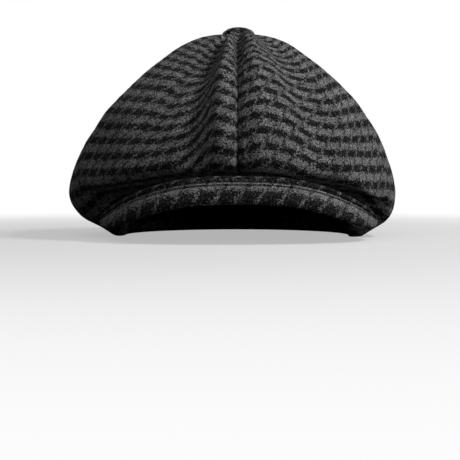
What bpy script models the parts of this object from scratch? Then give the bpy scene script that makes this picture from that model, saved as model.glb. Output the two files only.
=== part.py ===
"""A big soft four-panel cap: a full crown of quarter panels that folds over a short bent peak.

The origin is on the surface that the cap lies on, under the middle of its box. +Z is up,
the peak points to -Y and +X is on the right of someone who faces the peak. Lengths are in
metres. Left and right are those of someone who faces the peak.
"""
import math
from collections import namedtuple

import bmesh
import bpy
from mathutils import Vector

# Opening for the head and the band round it
HEAD_HALF_WIDTH = 0.0765
HEAD_HALF_LENGTH = 0.0975
BAND_WALL = 0.0025
BAND_HEIGHT = 0.028
BAND_FRONT_RISE = 0.040
BAND_BACK_RISE = 0.005
BAND_SIDES = 64

# Crown: its height, and how far it stands out past the band
CROWN_HEIGHT = 0.1605
CROWN_WALL = 0.0022
LEFT_OVERHANG = 0.0570
RIGHT_OVERHANG = 0.0465
FRONT_OVERHANG = 0.0225
BACK_OVERHANG = 0.040
SEAM_RISE = 0.0070
FOLD_HEIGHT = 0.0080

# Peak: a bent board under cloth, its front turned down
PEAK_WALL = 0.0050
PEAK_HALF_WIDTH = 0.104
PEAK_REACH = 0.037
PEAK_ARCH = 0.030
PEAK_ARCH_POWER = 2.65
PEAK_PLAN_POWER = 2.4
PEAK_TIP_POWER = 10
PEAK_TIP_FULLNESS = 0.35
PEAK_FACE_HEIGHT = 0.0175
PEAK_FACE_LEAN = 0.0095
PEAK_TIP_BACK = 0.045
PEAK_BEAD = 0.0012

# Covered button on the crown's point
BUTTON_RADIUS = 0.0130
BUTTON_HEIGHT = 0.0075

# Clearances between pieces that are sewn together
SEAM_GAP = 0.0003
REST_GAP = 0.0008

# Angles from the front, in degrees
QUARTER = 90.0
LIFT_FULL_ANGLE = 63.0
LIFT_END_ANGLE = 84.0
ROOT_ANGLE = 62.0

# Grid of each panel, and of the peak
FRONT_COLUMNS = 18
BACK_COLUMNS = 12
PANEL_ROWS = 28
COLUMN_CROWDING = 1.2
PEAK_STEPS = 28
PEAK_LAST_ANGLE = 88.0
BUTTON_SIDES = 20

# Steps for the crown's slope, the fade of a fold at its ends, and the merge distance
SLOPE_STEP = 0.002
FOLD_FADE = 0.2
MERGE_DISTANCE = 0.00001

BAND_OUT_X = HEAD_HALF_WIDTH + BAND_WALL
BAND_OUT_Y = HEAD_HALF_LENGTH + BAND_WALL

# Stations down the crown's outer face, from the button to the band. "out" is a share of the
# crown's reach, measured from the axis down to the bulge and from the band's outer face after
# it. "up" is a share of the crown's height above what it lies on, and for the last rows a
# share of the height of the seam on the band.
Station = namedtuple(
    "Station",
    "name from_band on_seam side_out side_up front_out front_up back_out back_up",
)
STATIONS = (
    Station("point", False, False, 0.012, 0.984, 0.012, 0.984, 0.011, 0.984),
    Station("button_seat", False, False, 0.075, 0.990, 0.080, 0.988, 0.070, 0.990),
    Station("puff", False, False, 0.160, 1.004, 0.175, 0.994, 0.155, 1.004),
    Station("shoulder", False, False, 0.335, 0.948, 0.370, 0.900, 0.350, 0.962),
    Station("upper_slope", False, False, 0.560, 0.800, 0.620, 0.710, 0.600, 0.845),
    Station("middle_slope", False, False, 0.757, 0.632, 0.815, 0.500, 0.810, 0.690),
    Station("lower_slope", False, False, 0.908, 0.450, 0.940, 0.320, 0.950, 0.490),
    Station("bulge", False, False, 0.998, 0.235, 1.000, 0.170, 1.000, 0.270),
    Station("under_bulge", True, False, 0.870, 0.100, 0.900, 0.076, 0.860, 0.110),
    Station("fold", True, False, 0.560, 0.026, 0.640, 0.020, 0.540, 0.026),
    Station("sole", True, True, 0.270, -0.060, 0.380, 0.000, 0.230, -0.060),
    Station("tuck", True, True, 0.095, 0.330, 0.170, 0.000, 0.080, 0.330),
    Station("band_seam", True, True, 0.000, 1.000, 0.000, 0.000, 0.000, 1.000),
)
STATION_NAMES = [station.name for station in STATIONS]
SOLE = STATIONS[STATION_NAMES.index("sole")]
BULGE_SHARE = STATION_NAMES.index("bulge") / (len(STATIONS) - 1)
PUFF_SHARE = STATION_NAMES.index("puff") / (len(STATIONS) - 1)

# Folds and seam dips. Angles are in degrees from the front, positive to the right, at the
# button and at the bulge. "height" is a share of FOLD_HEIGHT, and "top" and "bottom" are
# shares of the way from button to band.
Fold = namedtuple("Fold", "name angle_top angle_low half_width height top bottom")
FOLDS = (
    Fold("front_seam", 0.0, 0.0, 3.0, -0.36, 0.00, 0.78),
    Fold("left_puff", -8.0, -8.0, 8.0, 0.50, 0.09, 0.72),
    Fold("left_valley", -22.0, -17.0, 7.5, -0.85, 0.06, 0.68),
    Fold("left_cheek", -40.0, -34.0, 15.0, 0.25, 0.12, 0.66),
    Fold("right_puff", 10.0, 10.0, 10.0, 0.50, 0.09, 0.76),
    Fold("right_valley", 30.0, 27.0, 11.0, -0.25, 0.12, 0.66),
    Fold("left_dent", -92.0, -92.0, 46.0, -0.50, 0.14, 0.62),
    Fold("left_pleat", -58.0, -58.0, 6.5, -0.22, 0.55, 0.78),
    Fold("right_pleat", 57.0, 57.0, 6.5, -0.22, 0.55, 0.78),
    Fold("left_seam", -90.0, -90.0, 3.0, -0.20, 0.04, 0.78),
    Fold("right_seam", 90.0, 90.0, 3.0, -0.20, 0.04, 0.78),
    Fold("back_seam", 180.0, 180.0, 4.0, -0.25, 0.04, 0.78),
    Fold("back_left_sag", -142.0, -142.0, 20.0, -0.40, 0.20, 0.70),
    Fold("back_right_sag", 150.0, 150.0, 17.0, -0.35, 0.16, 0.70),
    Fold("back_right_drape", 122.0, 122.0, 14.0, 0.25, 0.30, 0.70),
)

# Corners round the peak's board from the root's end of the bend, over the stitched bead and
# down the turned face to its underside. "out" is a place out from the bend in walls, "lean"
# a share of the face's lean, "bead" of the bead's height, and "drop", "inner" and "wall" are
# shares of the face's drop, of the drop on its inner side and of the wall, all downwards.
PeakCorner = namedtuple("PeakCorner", "name out lean bead drop inner wall")
PEAK_CORNERS = (
    PeakCorner("level", -1.60, 0.00, 0.0, 0.00, 0.00, 0.0),
    PeakCorner("groove", -0.80, 0.00, 0.0, 0.00, 0.00, 0.0),
    PeakCorner("bead_crest", -0.30, 0.00, 1.0, 0.00, 0.00, 0.0),
    PeakCorner("bead_front", 0.10, 0.00, 0.6, 0.00, 0.00, 0.0),
    PeakCorner("face_top", 0.12, 0.12, 0.0, 0.16, 0.00, 0.0),
    PeakCorner("face_middle", 0.10, 0.50, 0.0, 0.50, 0.00, 0.0),
    PeakCorner("face_low", 0.00, 1.00, 0.0, 0.82, 0.00, 0.0),
    PeakCorner("rim_front", -0.12, 1.00, 0.0, 1.00, 0.00, 0.0),
    PeakCorner("rim_back", -0.72, 1.00, 0.0, 1.00, 0.00, 0.0),
    PeakCorner("inner_low", -1.00, 1.00, 0.0, 0.00, 0.94, 0.0),
    PeakCorner("inner_middle", -0.90, 0.50, 0.0, 0.00, 0.50, 0.5),
    PeakCorner("inner_top", -0.90, 0.00, 0.0, 0.00, 0.00, 1.0),
)
PEAK_INNER_LIP = 0.25

# Button's outline from its top to its underside, as shares of its radius and its height
BUTTON_PROFILE = (
    (0.00, 1.00),
    (0.40, 0.95),
    (0.72, 0.76),
    (0.93, 0.48),
    (1.00, 0.28),
    (0.94, 0.12),
    (0.70, 0.00),
    (0.00, 0.00),
)

CLOTH_COLOUR = (0.045, 0.045, 0.047, 1.0)
BAND_COLOUR = (0.012, 0.012, 0.013, 1.0)


def smoothstep(low, high, value):
    """0 below low, 1 above high, and a soft step between them."""
    share = min(max((value - low) / (high - low), 0.0), 1.0)
    return share * share * (3.0 - 2.0 * share)


def through(values, place):
    """Catmull-Rom curve through a list of values, at a place from 0 to the last index."""
    last = len(values) - 1
    index = min(int(place), last - 1)
    t = place - index
    before = values[max(index - 1, 0)]
    start = values[index]
    end = values[index + 1]
    after = values[min(index + 2, last)]
    return 0.5 * (
        2.0 * start
        + (end - before) * t
        + (2.0 * before - 5.0 * start + 4.0 * end - after) * t * t
        + (3.0 * start - before - 3.0 * end + after) * t * t * t
    )


def band_edge(y):
    """Height of the band's lower edge, which lies in a plane that rises to the front."""
    share = (BAND_OUT_Y - y) / (2.0 * BAND_OUT_Y)
    return BAND_BACK_RISE + (BAND_FRONT_RISE - BAND_BACK_RISE) * share


def peak_top(x):
    """Height of the peak's upper face, an arch that falls off to both sides."""
    fall = PEAK_ARCH * (abs(x) / PEAK_HALF_WIDTH) ** PEAK_ARCH_POWER
    return BAND_FRONT_RISE + PEAK_WALL - fall


def station_point(station, angle):
    """One station of the crown's outer face at one angle, before its folds."""
    sine = math.sin(angle)
    cosine = math.cos(angle)
    ahead = cosine > 0.0
    side_share = sine * sine
    end_share = cosine * cosine
    end_out = station.front_out if ahead else station.back_out
    end_up = station.front_up if ahead else station.back_up
    overhang = FRONT_OVERHANG if ahead else BACK_OVERHANG
    side_overhang = RIGHT_OVERHANG if sine > 0.0 else LEFT_OVERHANG
    if station.from_band:
        half_x = BAND_OUT_X + SEAM_GAP + station.side_out * side_overhang
        half_y = BAND_OUT_Y + SEAM_GAP + end_out * overhang
    else:
        half_x = station.side_out * (BAND_OUT_X + side_overhang)
        half_y = end_out * (BAND_OUT_Y + overhang)
    x = half_x * sine
    y = -half_y * cosine
    up = station.side_up * side_share + end_up * end_share
    degrees = abs(math.degrees(math.atan2(sine, cosine)))
    on_peak = 1.0 - smoothstep(LIFT_FULL_ANGLE, LIFT_END_ANGLE, degrees)
    if station.on_seam:
        free = up * (band_edge(y) + SEAM_RISE)
        return Vector((x, y, free + on_peak * (peak_top(x) + REST_GAP - free)))
    sole_x = (BAND_OUT_X + SOLE.side_out * side_overhang) * sine
    lift = on_peak * (peak_top(sole_x) + REST_GAP)
    return Vector((x, y, lift + up * (CROWN_HEIGHT - lift)))


def smooth_point(angle, along):
    """Point of the crown without folds: along is 0 at the button and 1 at the band."""
    points = [station_point(station, angle) for station in STATIONS]
    return through(points, along * (len(points) - 1))


def fold_height(angle, along):
    """How far the folds and seam dips push the cloth out at one point."""
    degrees = math.degrees(angle)
    total = 0.0
    for fold in FOLDS:
        line = fold.angle_top + (fold.angle_low - fold.angle_top) * min(along / BULGE_SHARE, 1.0)
        away = abs((degrees - line + 180.0) % 360.0 - 180.0) / fold.half_width
        if away < 1.0:
            wave = 0.5 + 0.5 * math.cos(math.pi * away)
            fade = smoothstep(fold.top, fold.top + FOLD_FADE, along)
            fade *= 1.0 - smoothstep(fold.bottom - FOLD_FADE, fold.bottom, along)
            total += fold.height * wave * fade
    return total * FOLD_HEIGHT


def crown_point(angle, along):
    """Point of the crown's outer face with its folds, flattened where it rests."""
    here = smooth_point(angle, along)
    across = smooth_point(angle + SLOPE_STEP, along) - smooth_point(angle - SLOPE_STEP, along)
    higher = smooth_point(angle, max(along - SLOPE_STEP, 0.0))
    down = smooth_point(angle, min(along + SLOPE_STEP, 1.0)) - higher
    outward = down.cross(across).normalized()
    point = here + outward * fold_height(angle, along)
    point.z = max(point.z, 0.0)
    return point


def new_material(name, colour):
    material = bpy.data.materials.new(name)
    material.use_nodes = True
    shader = material.node_tree.nodes["Principled BSDF"]
    shader.inputs["Base Color"].default_value = colour
    shader.inputs["Roughness"].default_value = 0.9
    return material


def add_object(name, bm, material, collection):
    mesh = bpy.data.meshes.new(name)
    bm.to_mesh(mesh)
    bm.free()
    mesh.materials.append(material)
    mesh.shade_smooth()
    piece = bpy.data.objects.new(name, mesh)
    collection.objects.link(piece)
    return piece


def add_wall(piece, thickness):
    """Give an open surface its wall, on the side away from its normals."""
    wall = piece.modifiers.new("wall", "SOLIDIFY")
    wall.thickness = thickness
    wall.offset = -1.0
    wall.use_even_offset = True


def crown_panel(name, x_sign, y_sign, columns, material, collection):
    """One quarter of the crown, from its seam in the middle to its seam at the side."""
    bm = bmesh.new()
    bmesh.ops.create_grid(bm, x_segments=columns, y_segments=PANEL_ROWS, size=0.5)
    crowding = COLUMN_CROWDING if y_sign < 0 else 1.0
    for vert in bm.verts:
        across = min(max(vert.co.x + 0.5, 0.0), 1.0)
        along = min(max(vert.co.y + 0.5, 0.0), 1.0)
        degrees = QUARTER * across ** crowding
        if y_sign > 0:
            degrees = 2.0 * QUARTER - degrees
        vert.co = crown_point(math.radians(x_sign * degrees), along)
        vert.co.x += x_sign * SEAM_GAP / 2
        vert.co.y += y_sign * SEAM_GAP / 2
    if x_sign * y_sign < 0:
        bmesh.ops.reverse_faces(bm, faces=bm.faces)
    piece = add_object(name, bm, material, collection)
    add_wall(piece, CROWN_WALL)
    return piece


def headband(material, collection):
    """Oval band round the head, its lower edge rising to the front."""
    bm = bmesh.new()
    ring = bmesh.ops.create_circle(bm, segments=BAND_SIDES, radius=1.0)["verts"]
    for vert in ring:
        vert.co.x *= BAND_OUT_X
        vert.co.y *= BAND_OUT_Y
        vert.co.z = band_edge(vert.co.y)
    edges = list(bm.edges)
    upper = bmesh.ops.extrude_edge_only(bm, edges=edges)["geom"]
    raised = [item for item in upper if isinstance(item, bmesh.types.BMVert)]
    bmesh.ops.translate(bm, verts=raised, vec=(0.0, 0.0, BAND_HEIGHT))
    bmesh.ops.recalc_face_normals(bm, faces=bm.faces)
    front = bm.faces[:][0]
    if front.normal.dot(front.calc_center_median()) < 0.0:
        bmesh.ops.reverse_faces(bm, faces=bm.faces)
    piece = add_object("headband", bm, material, collection)
    add_wall(piece, BAND_WALL)
    return piece


def peak_section(angle):
    """Loop of points round the peak's board at one angle, from its root on the band."""
    sine = math.sin(angle)
    cosine = math.cos(angle)
    root_angle = angle * ROOT_ANGLE / 90.0
    root_x = (BAND_OUT_X + SEAM_GAP) * math.sin(root_angle)
    root_y = -(BAND_OUT_Y + SEAM_GAP) * math.cos(root_angle)
    depth = BAND_OUT_Y + PEAK_REACH - PEAK_TIP_BACK
    bend_x = PEAK_HALF_WIDTH * math.copysign(abs(sine) ** (2.0 / PEAK_PLAN_POWER), sine)
    bend_y = -PEAK_TIP_BACK - depth * cosine ** (2.0 / PEAK_PLAN_POWER)
    outward = Vector((bend_x - root_x, bend_y - root_y, 0.0)).normalized()
    fullness = math.sqrt(1.0 - abs(bend_x / PEAK_HALF_WIDTH) ** PEAK_TIP_POWER)
    fullness = max(fullness, PEAK_TIP_FULLNESS)
    drop = PEAK_FACE_HEIGHT * fullness
    lean = PEAK_FACE_LEAN * fullness
    inner = max(drop - PEAK_INNER_LIP * PEAK_WALL, PEAK_WALL)
    root_top = peak_top(root_x)
    points = [Vector((root_x, root_y, root_top - PEAK_WALL)), Vector((root_x, root_y, root_top))]
    for corner in PEAK_CORNERS:
        out = corner.out * PEAK_WALL
        x = bend_x + outward.x * out
        y = bend_y + outward.y * out - lean * corner.lean
        down = corner.drop * drop + corner.inner * inner + corner.wall * PEAK_WALL
        points.append(Vector((x, y, peak_top(bend_x) + corner.bead * PEAK_BEAD - down)))
    return points


def peak(material, collection):
    """Bent board under cloth: level under the crown, its front turned down all the way round."""
    count = len(PEAK_CORNERS) + 2
    bm = bmesh.new()
    bmesh.ops.create_grid(bm, x_segments=count, y_segments=PEAK_STEPS, size=0.5)
    for vert in bm.verts:
        corner = round((vert.co.x + 0.5) * count) % count
        share = vert.co.y * 2.0
        angle = math.radians(PEAK_LAST_ANGLE) * math.sin(0.5 * math.pi * share)
        vert.co = peak_section(angle)[corner]
    bmesh.ops.remove_doubles(bm, verts=bm.verts, dist=MERGE_DISTANCE)
    ends = [edge for edge in bm.edges if edge.is_boundary]
    bmesh.ops.holes_fill(bm, edges=ends, sides=count)
    bmesh.ops.recalc_face_normals(bm, faces=bm.faces)
    return add_object("peak", bm, material, collection)


def crown_button(material, collection):
    """Covered button, a low dome turned about the crown's axis."""
    nearby = [
        crown_point(math.radians(degrees), PUFF_SHARE * step / BUTTON_SIDES)
        for degrees in range(0, 360, 15)
        for step in range(BUTTON_SIDES + 1)
    ]
    flat_radius = BUTTON_RADIUS * BUTTON_PROFILE[-2][0]
    seat = SEAM_GAP + max(point.z for point in nearby if point.xy.length <= flat_radius)
    mesh = bpy.data.meshes.new("crown_button")
    points = [(BUTTON_RADIUS * out, 0.0, seat + BUTTON_HEIGHT * up) for out, up in BUTTON_PROFILE]
    edges = [(index, index + 1) for index in range(len(points) - 1)]
    mesh.from_pydata(points, edges, [])
    mesh.materials.append(material)
    piece = bpy.data.objects.new("crown_button", mesh)
    collection.objects.link(piece)
    turn = piece.modifiers.new("turn", "SCREW")
    turn.axis = "Z"
    turn.angle = 2.0 * math.pi
    turn.steps = BUTTON_SIDES
    turn.render_steps = BUTTON_SIDES
    turn.use_merge_vertices = True
    turn.merge_threshold = MERGE_DISTANCE
    return piece


def box_middle():
    """Middle of the cap's box on the surface it lies on, from the crown's bulge and the peak."""
    rim = [crown_point(math.radians(degrees), BULGE_SHARE) for degrees in range(0, 360, 2)]
    rim += peak_section(0.0)
    middle = Vector((0.0, 0.0, 0.0))
    for axis in (0, 1):
        places = [point[axis] for point in rim]
        middle[axis] = (min(places) + max(places)) / 2
    return middle


def build():
    for item in list(bpy.data.objects):
        bpy.data.objects.remove(item)
    collection = bpy.data.collections.new("flat_cap")
    bpy.context.scene.collection.children.link(collection)
    cloth = new_material("check_tweed", CLOTH_COLOUR)
    lining = new_material("plain_band_cloth", BAND_COLOUR)
    crown_panel("crown_front_left", -1, -1, FRONT_COLUMNS, cloth, collection)
    crown_panel("crown_front_right", 1, -1, FRONT_COLUMNS, cloth, collection)
    crown_panel("crown_back_left", -1, 1, BACK_COLUMNS, cloth, collection)
    crown_panel("crown_back_right", 1, 1, BACK_COLUMNS, cloth, collection)
    headband(lining, collection)
    peak(cloth, collection)
    crown_button(cloth, collection)
    middle = box_middle()
    for piece in collection.objects:
        piece.location = -middle


build()
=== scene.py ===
"""Dresses a big soft flat cap: tweed panels, a stitched peak, a covered button and a band.

Lengths are in metres, +Z is up and the peak points to -Y. Left and right are those of someone
who faces the peak. The band, the crown's stations and the peak's plan are those of the cap's
solids. The crown's folds and slump and the ribs on the peak go further than the solids' own.
"""
import math
from collections import namedtuple
from functools import lru_cache

import bmesh
import bpy
from bpy.props import FloatProperty, FloatVectorProperty, IntProperty, PointerProperty
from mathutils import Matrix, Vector, noise


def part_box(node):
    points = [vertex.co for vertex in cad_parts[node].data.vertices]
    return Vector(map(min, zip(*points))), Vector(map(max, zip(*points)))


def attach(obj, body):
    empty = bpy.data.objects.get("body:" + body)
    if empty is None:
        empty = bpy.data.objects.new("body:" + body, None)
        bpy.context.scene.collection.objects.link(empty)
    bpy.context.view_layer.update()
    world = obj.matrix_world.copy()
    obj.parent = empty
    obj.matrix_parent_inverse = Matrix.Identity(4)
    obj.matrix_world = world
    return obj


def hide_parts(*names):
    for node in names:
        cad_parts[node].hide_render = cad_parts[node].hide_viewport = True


bl_info = {
    "name": "Tweed Flat Cap",
    "version": (1, 0, 0),
    "blender": (4, 5, 0),
    "location": "View3D > Sidebar > Flat Cap",
    "description": "Builds a soft panelled flat cap in a houndstooth tweed",
    "category": "Object",
}

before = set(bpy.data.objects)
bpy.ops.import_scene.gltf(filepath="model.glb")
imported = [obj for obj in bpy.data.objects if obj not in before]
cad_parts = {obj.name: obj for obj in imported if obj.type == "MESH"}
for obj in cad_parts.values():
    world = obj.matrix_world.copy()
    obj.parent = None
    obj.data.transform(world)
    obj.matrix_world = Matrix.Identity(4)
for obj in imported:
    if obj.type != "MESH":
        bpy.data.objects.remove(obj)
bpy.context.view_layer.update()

# Opening for the head, and the band round it
HEAD_HALF_WIDTH = 0.0765
HEAD_HALF_LENGTH = 0.0975
BAND_WALL = 0.0025
BAND_HEIGHT = 0.028
BAND_FRONT_RISE = 0.040
BAND_BACK_RISE = 0.005
BAND_OUT_X = HEAD_HALF_WIDTH + BAND_WALL
BAND_OUT_Y = HEAD_HALF_LENGTH + BAND_WALL

# The band's grid, how far its edges tuck in, the ripples of its lower edge, and its weave
BAND_SIDES = 240
BAND_LAYERS = 14
BAND_TUCK = 0.0009
BAND_TUCK_POWER = 8
BAND_RIPPLE = 0.0002
BAND_RIPPLES = 46
BAND_WEAVE = 0.0012

# Crown, its overhangs past the band, and the gaps that it keeps from the band and the peak
CROWN_HEIGHT = 0.1605
CROWN_WALL = 0.0022
LEFT_OVERHANG = 0.0570
RIGHT_OVERHANG = 0.0465
FRONT_OVERHANG = 0.0225
BACK_OVERHANG = 0.040
SEAM_RISE = 0.0070
SEAM_GAP = 0.0003
REST_GAP = 0.0008

# Degrees from the front out to which the peak lifts the crown. From there the crown turns down
# behind the peak's end, in a rounded drop that ends further round on the left.
LIFT_FULL_ANGLE = 62.5
LIFT_TURN = 4.5
LEFT_LIFT_END = 90.0
RIGHT_LIFT_END = 80.0
LIFT_POWER = 2.6

# How far the soft bulge sinks over the peak, and how much more beside the peak's ends, within
# TIP_SLUMP_REACH degrees of TIP_SLUMP_ANGLE. The slump over the peak grows with the cosine of
# the angle, and each starts, is full and ends at a share of the way from button to band.
FRONT_SLUMP = 0.007
LEFT_TIP_SLUMP = 0.005
RIGHT_TIP_SLUMP = 0.016
TIP_SLUMP_ANGLE = 58.0
TIP_SLUMP_REACH = 26.0
SLUMP_COSINE_LOW = 0.2
SLUMP_COSINE_FULL = 0.7
SLUMP_START = 0.42
SLUMP_FULL = 0.60
SLUMP_END = 0.74

# Height of the folds, the share of the way down over which each comes in and goes, and how much
# wider its angle is at the button
FOLD_HEIGHT = 0.0080
FOLD_FADE = 0.2
FOLD_SPREAD = 0.7

# The step over which the crown's slope is measured, in radians and in shares of the way down,
# the steps that measure a line of cloth, and how far a panel's columns crowd to its seams
SLOPE_STEP = 0.002
LENGTH_STEPS = 600
COLUMN_CROWDING = 0.5
MERGE_DISTANCE = 0.00001

# The cloth's roll into a seam: how much wider it is near the button, the shares of the way down
# between which it narrows, the most of a row that it may take up, how it rounds, and how deep
# it is at the sides and the back, as a share of its depth at the front
SEAM_TOP_WIDTH = 1.1
SEAM_TOP_LEFT = 0.15
SEAM_TOP_END = 0.42
SEAM_ROLL_LIMIT = 0.3
SEAM_ROLL_POWER = 1.8
SIDE_SEAM_ROLL = 0.4

# Shares of the way down between which the rolls, the waves and the nap come in, and between
# which they go, and how far from a seam the waves are held still
RELIEF_START = 0.13
RELIEF_FULL = 0.23
RELIEF_LEFT = 0.66
RELIEF_END = 0.80
WAVE_CALM = 0.012

# How closely the waves and the nap's lumps follow each other, in noise cells to a metre
WAVE_SCALE = 34.0
SMALL_WAVE_SCALE = 75.0
SMALL_WAVE_SHARE = 0.5
NAP_SCALE = 420.0

# Finishes: half a repeat of the check, how far the wool's drift shifts it, in repeats, how far
# the fibres ruffle its edges, how wide the twill's edges are against the yarns' and how high the
# twill stands, how close the tufts lie against the fibres, and noise cells to a metre
HALF_REPEAT = 0.5
CHECK_DRIFT = (0.50, 0.50, 0.0)
FIBRE_RUFFLE = 0.40
TWILL_EDGE = 1.6
TWILL_RELIEF = 0.25
TUFT_SCALE = 0.62
HAZE_SCALE = 60.0
FLUFF_SCALE = 1500.0
FUZZ_SCALE = 3000.0

# Peak: its board, its plan and its arch, the face that turns down along its bend, its ends,
# which are rounded from one angle to the last, and the angle where its root ends on the band
PEAK_WALL = 0.0050
PEAK_HALF_WIDTH = 0.104
PEAK_REACH = 0.037
PEAK_ARCH = 0.030
PEAK_ARCH_POWER = 2.65
PEAK_PLAN_POWER = 2.4
PEAK_TIP_POWER = 7
PEAK_TIP_FULLNESS = 0.35
PEAK_FACE_HEIGHT = 0.0175
PEAK_FACE_LEAN = 0.0095
PEAK_TIP_BACK = 0.045
PEAK_BEAD = 0.0012
PEAK_INNER_LIP = 0.25
PEAK_ROUND_ANGLE = 80.0
PEAK_LAST_ANGLE = 88.0
PEAK_ROUND_TRIM = 0.009
ROOT_ANGLE = 62.0

# Steps that follow the line of stitches, and the share of the peak's length that is stitched
STITCH_LINE_STEPS = 900
STITCHED_SHARE = 0.98

# Button: its gathers and how far out they start, how far over its underside it gets lumpy, and
# where its middle lies on the check, in repeats
BUTTON_RADIUS = 0.0130
BUTTON_SPOKES = 48
BUTTON_GATHERS = 18.0
BUTTON_GATHER_HEIGHT = 0.00018
BUTTON_GATHER_START = 0.6
BUTTON_CALM = 0.002
BUTTON_CHECK_ACROSS = 0.1
BUTTON_CHECK_DOWN = 0.6

# The crown's axis runs through the middle of its button
BUTTON_LOW, BUTTON_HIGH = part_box("crown_button")
AXIS = Vector(((BUTTON_LOW.x + BUTTON_HIGH.x) / 2, (BUTTON_LOW.y + BUTTON_HIGH.y) / 2, 0.0))

# Stations down the crown's outer face, from the button to the band, as on the solids, at its
# side, front and back. "out" is a share of the crown's half width or length, or of its overhang
# past the band where "from_band" is true. "up" is a share of the way up from where the crown
# rests to its top, or of the height of the band's seam where "on_seam" is true.
Station = namedtuple(
    "Station",
    "name from_band on_seam side_out side_up front_out front_up back_out back_up",
)
STATIONS = (
    Station("point", False, False, 0.012, 0.984, 0.012, 0.984, 0.011, 0.984),
    Station("button_seat", False, False, 0.075, 0.990, 0.080, 0.988, 0.070, 0.990),
    Station("puff", False, False, 0.160, 1.004, 0.175, 0.994, 0.155, 1.004),
    Station("shoulder", False, False, 0.335, 0.948, 0.370, 0.900, 0.350, 0.962),
    Station("upper_slope", False, False, 0.560, 0.800, 0.620, 0.710, 0.600, 0.845),
    Station("middle_slope", False, False, 0.757, 0.632, 0.815, 0.500, 0.810, 0.690),
    Station("lower_slope", False, False, 0.908, 0.450, 0.940, 0.320, 0.950, 0.490),
    Station("bulge", False, False, 0.998, 0.235, 1.000, 0.170, 1.000, 0.270),
    Station("under_bulge", True, False, 0.870, 0.100, 0.900, 0.076, 0.860, 0.110),
    Station("fold", True, False, 0.560, 0.026, 0.640, 0.020, 0.540, 0.026),
    Station("sole", True, True, 0.270, -0.060, 0.380, 0.000, 0.230, -0.060),
    Station("tuck", True, True, 0.095, 0.330, 0.170, 0.000, 0.080, 0.330),
    Station("band_seam", True, True, 0.000, 1.000, 0.000, 0.000, 0.000, 1.000),
)
STATION_NAMES = [station.name for station in STATIONS]
SOLE = STATIONS[STATION_NAMES.index("sole")]
BULGE_SHARE = STATION_NAMES.index("bulge") / (len(STATIONS) - 1)

# Folds of the cloth. Angles are in degrees from the front, positive to the right, at the button
# and at the bulge. "height" is a share of FOLD_HEIGHT, and "top" and "bottom" are shares of
# the way from button to band.
Fold = namedtuple("Fold", "name angle_top angle_low half_width height top bottom")
FOLDS = (
    Fold("left_puff", -12.5, -4.0, 7.2, 0.80, 0.10, 0.74),
    Fold("left_valley", -24.0, -13.4, 7.4, -0.76, 0.09, 0.68),
    Fold("left_step", -32.0, -26.0, 18.0, -0.55, 0.12, 0.68),
    Fold("left_hollow", -40.0, -38.0, 25.0, -0.36, 0.12, 0.68),
    Fold("left_low_puff", -42.0, -42.0, 30.0, 0.40, 0.54, 0.84),
    Fold("right_puff_crest", 13.0, 5.4, 6.5, 0.40, 0.10, 0.74),
    Fold("right_puff", 16.0, 11.0, 13.0, 0.46, 0.10, 0.76),
    Fold("right_valley", 36.0, 29.0, 12.0, -0.36, 0.12, 0.66),
    Fold("right_low_puff", 30.0, 30.0, 36.0, 0.65, 0.52, 0.84),
    Fold("right_tip_puff", 54.0, 54.0, 26.0, 0.34, 0.48, 0.88),
    Fold("right_side", 92.0, 92.0, 46.0, 0.32, 0.30, 0.62),
    Fold("left_dent", -92.0, -92.0, 46.0, -0.46, 0.27, 0.53),
    Fold("left_underside", -84.0, -84.0, 40.0, -0.45, 0.58, 0.88),
    Fold("left_top", -90.0, -90.0, 75.0, -0.22, 0.00, 0.30),
    Fold("right_top", 90.0, 90.0, 75.0, -0.32, 0.00, 0.30),
    Fold("left_pleat", -58.0, -58.0, 6.5, -0.22, 0.55, 0.78),
    Fold("right_pleat", 57.0, 57.0, 6.5, -0.22, 0.55, 0.78),
    Fold("back_left_sag", -142.0, -142.0, 20.0, -0.40, 0.20, 0.70),
    Fold("back_right_sag", 150.0, 150.0, 17.0, -0.35, 0.16, 0.70),
    Fold("back_right_drape", 122.0, 122.0, 14.0, 0.25, 0.30, 0.70),
    Fold("right_tip_gather_a", 44.0, 50.0, 2.2, -0.09, 0.52, 0.76),
    Fold("right_tip_gather_b", 50.0, 55.0, 1.8, -0.08, 0.54, 0.78),
    Fold("right_tip_gather_c", 60.0, 62.0, 2.0, -0.09, 0.52, 0.78),
    Fold("right_tip_gather_d", 66.0, 67.0, 2.4, -0.07, 0.50, 0.78),
    Fold("left_tip_gather_a", -46.0, -50.0, 2.2, -0.14, 0.54, 0.76),
    Fold("left_tip_gather_b", -53.0, -56.0, 1.8, -0.12, 0.55, 0.78),
    Fold("left_tip_gather_c", -63.0, -63.0, 2.2, -0.14, 0.54, 0.78),
)

# Each panel's node, whether it is at the front, its angles at the seams where its grid starts and
# ends, and its check, in metres: the first row's place beside the seam down the front or the back,
# how far the rows tilt down to the side, how much more for each metre of cloth, their hang in the
# panel's middle, and what is added to that hang near the button
Panel = namedtuple("Panel", "node front start end first_row row_tilt row_lean row_hang top_hang")
PANELS = (
    Panel("crown_front_left", True, -90.0, 0.0, 0.053, -0.012, 0.24, 0.014, 0.0),
    Panel("crown_front_right", True, 0.0, 90.0, 0.050, -0.017, 0.13, 0.013, 0.0),
    Panel("crown_back_right", False, 90.0, 180.0, 0.040, -0.006, 0.04, 0.010, -0.030),
    Panel("crown_back_left", False, -180.0, -90.0, 0.042, -0.006, 0.06, 0.010, -0.030),
)

# Lengths of cloth down from the button between which the check's rows lose their hang, and the
# share that they lose.
ROW_HANG_FULL = 0.10
ROW_HANG_END = 0.22
ROW_HANG_LOST = 0.55
GATHER_SHARE = 0.40
GATHER_ROWS = 0.030
GATHER_END = 0.10

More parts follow.
